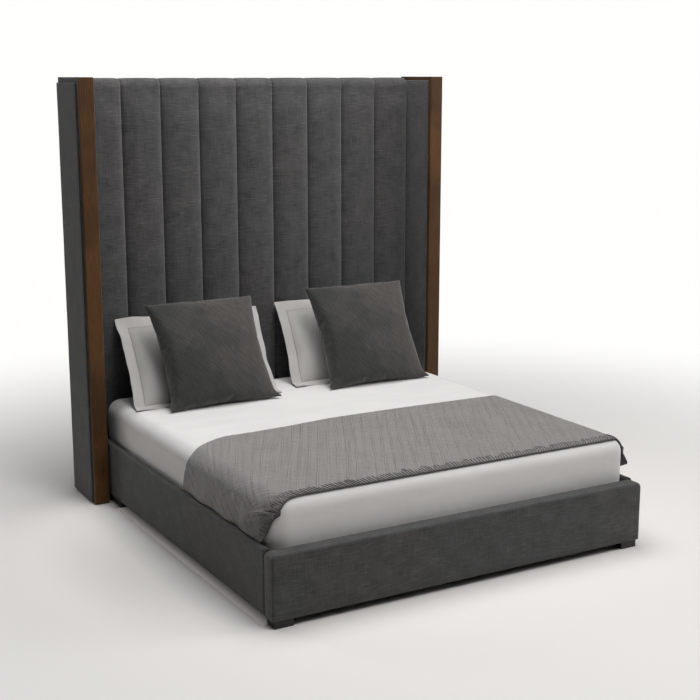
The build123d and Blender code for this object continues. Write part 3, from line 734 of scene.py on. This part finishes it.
sheet_grow = 0.0022
form = cut_block(108, 112, 17)
for vert in form.verts:
    vert.co = on_mattress(vert.co, sheet_grow)
tuck = 0.12
tucked_under = [
    face
    for face in form.faces
    if face.calc_center_median().z < mattress_low.z + 0.002
    and mattress_low.x + tuck < face.calc_center_median().x < mattress_high.x - tuck
    and mattress_low.y + tuck < face.calc_center_median().y < mattress_high.y - tuck
]
bmesh.ops.delete(form, geom=tucked_under, context="FACES")
form.normal_update()
throw_rear_reach = 0.03
for vert in form.verts:
    x, y, z = vert.co
    from_top = (mattress_high.z - z) / (mattress_high.z - mattress_low.z)
    on_side = min(max(from_top * 2.5, 0), 1)
    crease = uneven(x * 22, y * 22, z * 3) * on_side * 0.0011
    crease += uneven(x * 9 + y * 6, y * 5, 3) * 0.0009
    if y < mattress_low.y + 0.01:
        crease += uneven(x * 26 + z * 8, z * 7, 9) * 0.0022 * min(max((0.46 - z) / 0.12, 0), 1)
    under_throw = y < throw_rear_reach and z > mattress_low.z + 0.03
    vert.co += vert.normal * (min(crease, 0) - 0.0002 if under_throw else crease)
lay_threads(form)
sheet = make_piece("fitted_sheet_cotton", form, sheet_cotton, ["fitted_sheet"], "mattress")
thickened(sheet, "cotton", 0.0008, -1)

# The throw: a quilted grey-brown bedspread with slanting ribs, laid over the foot half
# and hanging at both sides. Its front edge is bound and whip-stitched in dark yarn.
throw_fabric, tree, shader = new_finish("throw fabric", 0.9, Sheen_Weight=0.3, Sheen_Roughness=0.5)
cloth = threads(tree)
rib_turn = radians(29)
hang_crease, crease_slope = 1.031, 0.33
askew = stretched(cloth, (1, 1, 1), rib_turn)


def hairline(source, scale, width):
    """Thin wandering lines where a cloudy pattern crosses its middle."""
    off = sum_of((streaks(source, scale, 2, 0.5), 1.0), (-0.5, 1.0))
    return band(unsigned(off), width, 0.0)


ribs = streaks(askew, (110, 2.0, 1))
ridge = waves(askew, 7.1, "X", 0.7)
near_peak = sum_of((ridge, 1.0), (-0.86, 1.0))
broken = band(streaks(askew, (9, 5, 1), 3, 0.5), 0.34, 0.56)
rib_lines = product(band(unsigned(near_peak), 0.10, 0.0), broken)
crest = product(band(ridge, 0.93, 0.99), broken)
fine_lines = hairline(askew, (34, 0.8, 1), 0.022)
dashes = band(streaks(askew, (26, 130, 1), 2, 0.5), 0.58, 0.7)
quilting = crossed(stretched(cloth, (1, 0.8, 1), radians(45)), 14)
cloudy = speckle(cloth, 6, 3)
tone = sum_of(
    (ribs, 0.50),
    (rib_lines, -0.32),
    (crest, 0.14),
    (fine_lines, -0.16),
    (dashes, 0.06),
    (quilting, 0.05),
    (cloudy, 0.4),
)
part = split(cloth)
past_crease = sum_of((unsigned(part[0]), 1.0), (-hang_crease, 1.0), (part[1], -crease_slope))
pleats = band(sum_of((unsigned(past_crease), 1.0), (-0.006, 1.0)), 0.004, 0.0)
pleats = product(pleats, band(part[1], 0.24, 0.16))
colour = blended(band(tone, 0.0, 0.74), (0.125, 0.117, 0.109), (0.266, 0.254, 0.240))
# Painted shade: the hang past the crease is painted darker, and the pleat lines along the crease darker still.
painted_hang_shade = sum_of((band(past_crease, -0.008, 0.03), 0.55), (pleats, 0.3))
coloured(shader, painted_hang_shade, colour, (0.052, 0.051, 0.049))
relief = sum_of(
    (ribs, 0.4),
    (rib_lines, -0.6),
    (crest, 0.8),
    (fine_lines, -0.3),
    (dashes, 0.4),
    (quilting, 0.4),
    (pleats, -1.2),
)
raised(shader, relief, 0.003, 0.8)

throw_grow = 0.0045
throw_front_in, corner_front_in = -1.022, -1.020
side_half, throw_top = mattress_high.x + throw_grow, mattress_high.z + throw_grow
block_half = (mattress_high - mattress_low) / 2 + Vector((throw_grow,) * 3)
hems = {-1: 0.3375, 1: 0.3769}
throw_length, tip_round = 0.985, 0.030
tips = {-1: (0.006, 0.033), 1: (0.058, 0.012)}
folds = {-1: 0.004, 1: 0.007}
spread = {-1: 0.009, 1: 0.003}
fold_drop = mattress_top_round + throw_grow


def throw_rear(x):
    """Where the throw's rear edge crosses the bed."""
    leftward = max(-x, 0)
    rightward = max(x - 0.2, 0)
    at_crease = 5.4 * max(leftward - 0.89, 0) ** 2
    dip = 0.012 + 0.047 * (1 - exp(-((leftward / 0.36) ** 2)))
    sweep = 1.35 * max(leftward - 0.70, 0) ** 1.6 + 0.045 * rightward**1.3
    return at_crease - dip - sweep


def on_throw(across, back, lift=0.0):
    """A point of the throw.

    It lies across the bed in metres from its middle, and back from the front edge in shares.
    """
    sign = copysign(1, across)
    hang = throw_top - hems[sign]
    from_hem, from_front = side_half + hang - abs(across), back * throw_length
    if from_hem < tip_round and from_front < tip_round:
        insets = (tip_round - from_hem, tip_round - from_front)
        far, near = max(insets), hypot(*insets)
        from_hem, from_front = (tip_round - (tip_round - run) * far / near for run in (from_hem, from_front))
        across, back = sign * (side_half + hang - from_hem), from_front / throw_length
    x = min(abs(across), side_half)
    side_run = max(abs(across) - side_half, 0)
    front = throw_front_in + (corner_front_in - throw_front_in) * min(max((x - 0.85) / 0.08, 0), 1)
    down_side = 0.044 * (1 - exp(-((side_run / 0.09) ** 2))) if sign < 0 else 0.52 * max(side_run - 0.012, 0)
    rear = throw_rear(sign * x) + down_side
    y = front + (rear - front) * back
    grow = throw_grow + lift
    corner = corner_radius(sign, -1, grow)
    past_corner = max(mattress_low.y - grow + corner - y, 0)
    side_x = mattress_high.x + grow - corner + (max(corner**2 - past_corner**2, 0)) ** 0.5
    drop = min(side_run, fold_drop)
    top = block_half.z + lift
    overhang = 0
    if sign < 0:
        past = x + side_run - 0.985
        overhang = 0.057 * exp(-((past / (0.075 if past < 0 else 0.050)) ** 2)) * (1 - back) ** 8
    place = over_edge(sign * x / side_half * side_x, y - overhang - mattress_middle.y, top - drop, grow)
    if side_run > fold_drop:
        sunk = throw_top + lift - fold_drop - place.z
        down = (side_run - fold_drop) / (hang - fold_drop)
        out, run = tips[sign]
        ahead = min(past_corner / (corner - 0.012), 1)
        swing = folds[sign] * sin((y + 0.9) * 2 * pi / 0.26 + 0.7) * (1 - ahead) + spread[sign]
        hem = Vector((sign * (side_half + lift + swing + out * ahead), y + run * ahead, hems[sign]))
        place = place.lerp(hem, down**1.15)
        place.z = throw_top - side_run + (lift - sunk) * (1 - down)
    return place


left_run = -(side_half + throw_top - hems[-1])
right_run = side_half + throw_top - hems[1]
form = bmesh.new()
bmesh.ops.create_grid(form, x_segments=300, y_segments=120, size=1)
laid = {}
for vert in form.verts:
    across = left_run + (right_run - left_run) * (vert.co.x + 1) / 2
    back = (vert.co.y + 1) / 2
    puff = 0.0006 + 0.0008 * uneven(across * 30, back * 26, 0)
    puff += 0.0009 * uneven(across * 6, back * 5, 5)
    lengthwise = across * cos(rib_turn) - back * sin(rib_turn)
    puff += 0.0006 * uneven(lengthwise * 45, back * 3, 2)
    near_corner = exp(-(((across + side_half - 0.02) / 0.1) ** 2) - (back / 0.16) ** 2)
    puff += 0.0035 * near_corner * (0.5 + 0.5 * sin((across * 0.7 + back * 0.75) * 2 * pi / 0.032))
    past_crease = abs(across) - hang_crease - crease_slope * back
    puff += 0.009 * exp(-((past_crease / 0.016) ** 2)) * min(max((0.26 - back) / 0.12, 0), 1)
    hanging = min(max((abs(across) - side_half - 0.05) / 0.06, 0), 1)
    puff += 0.0030 * hanging * (0.5 + uneven(across * 9, back * 13 + across * 6, 8))
    laid[vert] = (across, back * throw_length)
    vert.co = on_throw(across, back, max(puff, 0))
lay_threads(form, laid)
throw = make_piece("quilted_throw", form, throw_fabric, ["throw"], "throw")
thickened(throw, "quilt", 0.0035, 1)

# The throw's front edge: rolled into a narrow dark binding and whip-stitched over in
# thick dark yarn, at an uneven pace, as by hand.
dark_yarn, tree, shader = new_finish("dark yarn", 0.9, Sheen_Weight=0.4, Sheen_Roughness=0.5)
place = bed_place(tree)
fibres = streaks(place, (240, 240, 240), 4, 0.7)
plies = streaks(place, (90, 60, 60), 2, 0.5, turn=radians(30))
twist = band(sum_of((fibres, 0.6), (plies, 0.4)), 0.3, 0.7)
coloured(shader, twist, (0.022, 0.020, 0.018), (0.085, 0.080, 0.073))
raised(shader, fibres, 0.0008, 0.8)


def add_strand(form, points, radius, sides=8):
    """Add a round strand that follows points to a form, thinner at its ends."""
    already = len(form.verts)
    own = set(bmesh.ops.create_cone(form, cap_ends=True, segments=sides, radius1=1, radius2=1, depth=2)["verts"])
    long_edges = [
        edge for edge in form.edges if edge.verts[0] in own and abs(edge.verts[0].co.z - edge.verts[1].co.z) > 1
    ]
    bmesh.ops.subdivide_edges(form, edges=long_edges, cuts=len(points) - 2, use_grid_fill=True)
    for vert in form.verts[:][already:]:
        step = round((vert.co.z + 1) / 2 * (len(points) - 1))
        ahead = points[min(step + 1, len(points) - 1)] - points[max(step - 1, 0)]
        upright = Vector((0, 0, 1)) if abs(ahead.normalized().z) < 0.9 else Vector((0, 1, 0))
        across = ahead.cross(upright).normalized()
        outward = across.cross(ahead).normalized()
        thin = 0.6 if step in (0, len(points) - 1) else 1
        vert.co = points[step] + (across * vert.co.x + outward * vert.co.y) * radius * thin


form = bmesh.new()
edge_steps = 420
edge_line = []
for step in range(edge_steps + 1):
    across = left_run + 0.004 + (right_run - left_run - 0.008) * step / edge_steps
    lift = 0.0022 + 0.0008 * uneven(across * 40, 0, 0)
    edge_line.append(on_throw(across, 0, lift) + Vector((0, -0.0016, 0)))
add_strand(form, edge_line, 0.0036)
binding = make_piece("throw_binding", form, dark_yarn, body="throw")

form = bmesh.new()
across = left_run + 0.02
number = 0
while across < right_run - 0.02:
    reach = 0.048 + 0.055 * uneven(number * 0.31, 1, 0)
    reach = max(reach + 0.010 * uneven(number * 3.7, 1, 0), 0.016)
    lean = 0.008 * uneven(number * 2.3, 5, 0) - 0.004
    points = [
        on_throw(across + lean * share, reach * share, 0.0050 + 0.0006 * share) for share in (1.0, 0.75, 0.5, 0.25)
    ]
    front = on_throw(across, 0, 0.0022)
    round_edge = ((-0.0052, 0.0030), (-0.0060, -0.0002), (-0.0030, -0.0028))
    points += [front + Vector((0, y, z)) for y, z in round_edge]
    add_strand(form, points, 0.0018, 6)
    number += 1
    across += 0.0150 + 0.006 * uneven(number * 1.9, 9, 0)
stitches = make_piece("throw_whip_stitches", form, dark_yarn, body="throw")

# Shams: white cotton cases with a flat stitched flange round a stuffed body, leaning
# against the channels. The body is filled by simulating its cloth inside the flange.
sham_width, sham_height, sham_depth, flange = 0.856, 0.585, 0.15, 0.063
body_half_x, body_half_z = sham_width / 2 - flange, sham_height / 2 - flange
sham_cotton, tree, shader = new_finish("sham cotton", 0.85, Sheen_Weight=0.2, Sheen_Roughness=0.5)
cloth = threads(tree)
soft = streaks(cloth, (10, 5, 1), 3, 0.5, turn=0.5)
creases = streaks(cloth, (30, 9, 1), turn=-0.6)
fine = crossed(cloth, 600)
part = split(cloth)
past_x = sum_of((unsigned(part[0]), 1.0), (-body_half_x, 1.0))
past_z = sum_of((unsigned(part[1]), 1.0), (-body_half_z, 1.0))
past_seam = shader_node(tree, "Math", {0: past_x, 1: past_z}, operation="MAXIMUM").outputs[0]
seam = band(unsigned(past_seam), 0.0045, 0.0005)
colour = blended(band(soft, 0.25, 0.75), (0.385, 0.371, 0.352), (0.460, 0.446, 0.427))
# Painted light: the flange is painted lighter than the body.
colour = blended(band(past_seam, -0.001, 0.001), colour, blended(0.34, colour, (0.64, 0.62, 0.60)))
# Painted shade: darker along the seam, and a little darker in the body just inside it.
painted_seam_shade = sum_of((seam, 0.26), (band(past_seam, -0.035, -0.002), 0.10))
coloured(shader, painted_seam_shade, colour, (0.07, 0.067, 0.062))
raised(shader, sum_of((soft, 1.0), (creases, 0.3), (fine, 0.01), (seam, -0.5)), 0.006, 0.6)


def stuffed(form, pressure, frames, held=None):
    """Fill a sewn case: its cloth is simulated under a gentle pressure, with gravity off.

    held says which points stay put.
    """
    bmesh.ops.recalc_face_normals(form, faces=form.faces)
    mesh = bpy.data.meshes.new("case")
    form.to_mesh(mesh)
    case = bpy.data.objects.new("case", mesh)
    scene.collection.objects.link(case)
    fill = case.modifiers.new("filling", "CLOTH")
    fabric = fill.settings
    fabric.quality = 6
    fabric.mass = 0.25
    fabric.air_damping = 1
    fabric.tension_stiffness = fabric.compression_stiffness = 60
    fabric.shear_stiffness = 21
    fabric.bending_stiffness = 1.5
    fabric.tension_damping = fabric.compression_damping = fabric.shear_damping = 8
    fabric.use_pressure = True
    fabric.uniform_pressure_force = pressure
    fabric.effector_weights.gravity = 0
    fill.collision_settings.use_collision = False
    if held:
        case.vertex_groups.new(name="held").add([vert.index for vert in form.verts if held(vert.co)], 1.0, "REPLACE")
        fabric.vertex_group_mass = "held"
    fill.point_cache.frame_start = 1
    fill.point_cache.frame_end = frames
    for frame_number in range(1, frames + 1):
        scene.frame_set(frame_number)
    filled = case.evaluated_get(bpy.context.evaluated_depsgraph_get()).to_mesh()
    for vert, done in zip(form.verts, filled.vertices):
        vert.co = done.co
    bpy.data.objects.remove(case)
    bpy.data.meshes.remove(mesh)
    scene.frame_set(1)


def set_down(form, lean, turn, x, y=None, against=None):
    """Lean a form back, turn it and set it on the sheet, at a place or against the channels."""
    place = Matrix.Rotation(radians(turn), 4, "Z") @ Matrix.Rotation(radians(-lean), 4, "X")
    bmesh.ops.transform(form, matrix=place, verts=form.verts)
    lowest = min(vert.co.z for vert in form.verts)
    if against is not None:
        y = against - max(vert.co.y for vert in form.verts)
    bmesh.ops.translate(form, vec=(x, y, mattress_high.z + 0.0028 - lowest), verts=form.verts)


def subdivided(piece):
    """Smooth a piece by one subdivision."""
    smooth = piece.modifiers.new("smooth", "SUBSURF")
    smooth.levels = smooth.render_levels = 1


# Half a sham's thickness before the filling.
sham_start = 0.046
crown_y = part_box("channel_pad_5")[0].y
for side, x, lean, stretch, seed in (("left", -0.473, 38, 1.02, 0.0), ("right", 0.4965, 32, 0.965, 4.0)):
    form = cut_block(83, 0, 52)
    laid = {}
    for vert in form.verts:
        a, c, b = vert.co
        px, pz = a * sham_width / 2, b * sham_height / 2
        laid[vert] = (px, pz)
        ia, ib = min(abs(px) / body_half_x, 1), min(abs(pz) / body_half_z, 1)
        full = ((1 - ia**2.4) ** 0.6) * ((1 - ib**2.4) ** 0.6)
        thick = 0.0014 + (sham_start - 0.0014) * full
        vert.co = (px, copysign(thick, c), pz)
    lay_threads(form, laid)
    stuffed(form, 3.2, 9, lambda place: abs(place.x) > body_half_x - 0.002 or abs(place.z) > body_half_z - 0.002)
    for vert in form.verts:
        px, pz = laid[vert]
        a, b = px / (sham_width / 2), pz / (sham_height / 2)
        out = max(abs(px) - body_half_x, abs(pz) - body_half_z, 0) / flange
        wave = uneven(px * 7 + seed, pz * 9, seed) * 0.020 * out
        vert.co.y = min(vert.co.y, sham_depth / 2) if vert.co.y > 0 else max(vert.co.y, -sham_depth / 2)
        vert.co.y += wave - 0.004 * out**2
        vert.co.x -= copysign(0.017 * (1 - b * b) + 0.007 * uneven(pz * 11, seed, 2), px) * abs(a) ** 3
        vert.co.z -= copysign(0.005 * (1 - a * a) + 0.002 * uneven(px * 14, seed, 6), pz) * abs(b) ** 3
        below = max(-body_half_z - pz, 0)
        if below:
            vert.co.z += below - below * cos(radians(min(below / 0.015, 1) * 48))
            vert.co.y -= below * sin(radians(min(below / 0.015, 1) * 48))
        vert.co.x += 0.0175 * b
        vert.co.z = (vert.co.z + sham_height / 2) * stretch
    set_down(form, lean, 0, x, against=crown_y - 0.0035)
    sham = make_piece(f"{side}_sham_case", form, sham_cotton, [f"{side}_sham"], f"{side}_sham")
    subdivided(sham)

# Cushions: two plump squares in dark fabric with a fine diagonal pattern, leaning
# against the shams, with pointed corners and drawn-in sides, filled the same way.
cushion_fabric, tree, shader = new_finish("cushion fabric", 0.9, Sheen_Weight=0.3, Sheen_Roughness=0.5)
cloth = threads(tree)
falling = stretched(cloth, (1, 1, 1), radians(-38))
rising = stretched(cloth, (1, 1, 1), radians(36))
strands = streaks(falling, (105, 13, 1))
counter = streaks(rising, (110, 9, 1))
lozenges = sum_of((waves(falling, 24, "X", 0.6), 0.5), (waves(rising, 24, "X", 0.6), 0.5))
cloudy = speckle(cloth, 5, 3)
tone = band(sum_of((strands, 0.70), (counter, 0.32), (lozenges, 0.22), (cloudy, 0.25)), 0.5, 1.08)
part = split(cloth)
# The colour drifts at random and across the face, from warm brown at the upper right to a darker olive at the lower
# left; the darkening towards the lower left is painted shade.
hue_and_painted_shade = sum_of((cloudy, 1.3), (part[0], 1.2), (part[1], 0.7))
warm = blended(tone, (0.0200, 0.0176, 0.0153), (0.082, 0.0725, 0.0635))
olive = blended(tone, (0.0092, 0.0100, 0.0087), (0.040, 0.042, 0.0365))
coloured(shader, band(hue_and_painted_shade, 0.45, 0.95), olive, warm)
raised(shader, sum_of((strands, 0.6), (counter, 0.4), (lozenges, 0.3)), 0.0025, 0.8)

cushion_width, cushion_height, cushion_depth, cushion_edge, cushion_draw = 0.638, 0.622, 0.21, 0.008, 0.020
cushion_start = 0.084
cushions = (("left", -0.453, 31, 1.2, 0.5089, 1.0), ("right", 0.512, 29, -0.6, 0.5290, 6.0))
for side, x, lean, turn, y, seed in cushions:
    form = cut_block(63, 1, 60)
    laid = {}
    for vert in form.verts:
        a, c, b = vert.co
        px = a * (cushion_width / 2 + 0.002 - cushion_draw * 0.9 * (1 - b * b))
        pz = b * (cushion_height / 2 + 0.002 - cushion_draw * (0.5 if b < 0 else -0.45) * (1 - a * a))
        full = (1 - a * a) ** 0.5 * (1 - b * b) ** 0.5
        thick = 0.0025 + (cushion_start - 0.0025) * full
        laid[vert] = (px, pz)
        vert.co = (px, c * thick + 0.0012 * uneven(px * 30, pz * 30, seed), pz)
    lay_threads(form, laid)
    stuffed(form, 2.4, 9)
    for vert in form.verts:
        a, b = laid[vert][0] / (cushion_width / 2), laid[vert][1] / (cushion_height / 2)
        a, b = min(max(a, -1), 1), min(max(b, -1), 1)
        most = (cushion_edge + (cushion_depth - cushion_edge) * (1 - a * a) ** 0.6) / 2 * (1 - b * b) + 0.0005
        vert.co.y = min(vert.co.y, most)
        ear = max(abs(a) - 0.80, 0) / 0.2 * max(-b - 0.80, 0) / 0.2
        vert.co.x += copysign(0.012 * ear, a)
        vert.co.y -= 0.030 * ear
        vert.co.z += cushion_height / 2 + 0.010 * ear
    set_down(form, lean, turn, x, y)
    cushion = make_piece(
        f"{side}_cushion_cover", form, cushion_fabric, [f"{side}_cushion"], f"{side}_cushion"
    )
    subdivided(cushion)
